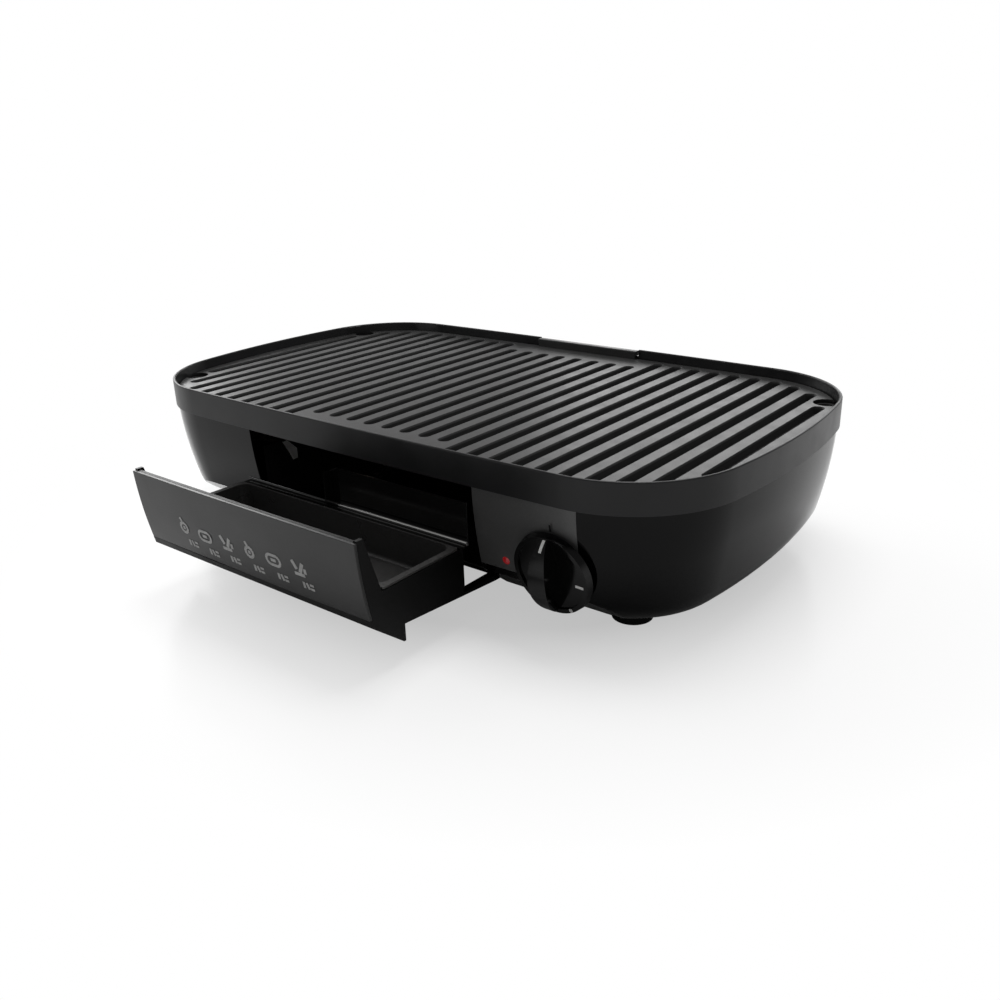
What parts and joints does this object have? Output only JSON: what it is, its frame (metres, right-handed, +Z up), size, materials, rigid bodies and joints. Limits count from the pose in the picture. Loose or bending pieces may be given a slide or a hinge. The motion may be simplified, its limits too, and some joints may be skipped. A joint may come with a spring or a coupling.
{
  "type": "electric table grill",
  "caption": "Electric table grill: ribbed grill plate in a rim frame on a glossy base, with a pull-out pan drawer and a heat knob at the front.",
  "frame": {"origin": "middle of the whole object's footprint, drawer pulled out, on the surface under its feet", "axes": "+X to the right along the length seen from the drawer side, +Y from the drawer side to the back, +Z up"},
  "size_m": [0.48, 0.3674, 0.106],
  "materials": {
    "gloss_black": "high gloss black moulding",
    "satin_dark": "satin, very dark grey",
    "nonstick": "fine-grained non-stick coating",
    "liner_steel": "dark heat-proof paint",
    "bright_steel": "bright sheet",
    "element_steel": "heat-tinted sheath",
    "ceramic": "white ceramic",
    "panel_grey": "satin grey lacquer",
    "matt_black": "fine matt texture",
    "baffle_enamel": "glossy black enamel",
    "pan_coating": "dark non-stick coating",
    "knob_black": "half-gloss black",
    "white_mark": "white inlay",
    "cam_nylon": "natural nylon",
    "thermostat_resin": "moulded resin",
    "copper_alloy": "plain copper alloy",
    "lamp_glass": "clear",
    "lens_red": "clear red",
    "fuse_sleeve": "glass-fibre sleeve",
    "foot_rubber": "matt black rubber",
    "wire_blue": "silicone insulation",
    "wire_brown": "silicone insulation"
  },
  "bodies": {
    "base": {"assembly_screws": "bright_steel", "base_shell": "gloss_black", "bay_liner": "liner_steel", "bulb_clip": "bright_steel", "capillary_bulb": "copper_alloy", "capillary_tube": "copper_alloy", "catch_spring": "bright_steel", "contact_leaf": "copper_alloy", "control_panel": "panel_grey", "cord_clamp": "thermostat_resin", "cord_gland": "foot_rubber", "element_brackets": "bright_steel", "element_bushes": "ceramic", "element_tabs": "bright_steel", "fuse_clip": "bright_steel", "heating_element": "element_steel", "indicator_lamp": "lamp_glass", "lamp_lens": "lens_red", "reflector_plate": "bright_steel", "reflector_screws": "bright_steel", "rim_frame": "satin_dark", "rubber_feet": "foot_rubber", "runner_left": "bright_steel", "runner_right": "bright_steel", "terminal_block": "ceramic", "terminal_screws": "bright_steel", "thermal_fuse": "fuse_sleeve", "thermostat_body": "thermostat_resin", "thermostat_bracket": "bright_steel", "thermostat_cover": "thermostat_resin", "wire_element": "wire_brown", "wire_fuse": "wire_blue", "wire_inlet": "wire_blue", "wire_thermostat": "wire_brown"},
    "plate": {"grill_plate": "nonstick"},
    "drawer": {"drawer_front": "panel_grey", "drawer_body": "matt_black", "drawer_arms": "matt_black", "drawer_baffle": "baffle_enamel", "drawer_screws": "bright_steel"},
    "pan": {"drawer_pan": "pan_coating"},
    "knob": {"control_knob": "knob_black", "knob_pointer": "white_mark", "thermostat_shaft": "bright_steel", "thermostat_cam": "cam_nylon"}
  },
  "joints": [
    {"name": "drawer_slide", "type": "slide", "parent": "base", "child": "drawer", "axis": [0, -1, 0], "range_m": [-0.091, 0]},
    {"name": "pan_lift", "type": "slide", "parent": "drawer", "child": "pan", "axis": [0, 0, 1], "range_m": [0, 0.025]},
    {"name": "plate_lift", "type": "slide", "parent": "base", "child": "plate", "axis": [0, 0, 1], "range_m": [0, 0.06]},
    {"name": "knob_turn", "type": "hinge", "parent": "base", "child": "knob", "pos_m": [0.156, -0.08653, 0.0462], "axis": [0, 0.9828, 0.1849], "range_deg": [0, 270]}
  ]
}
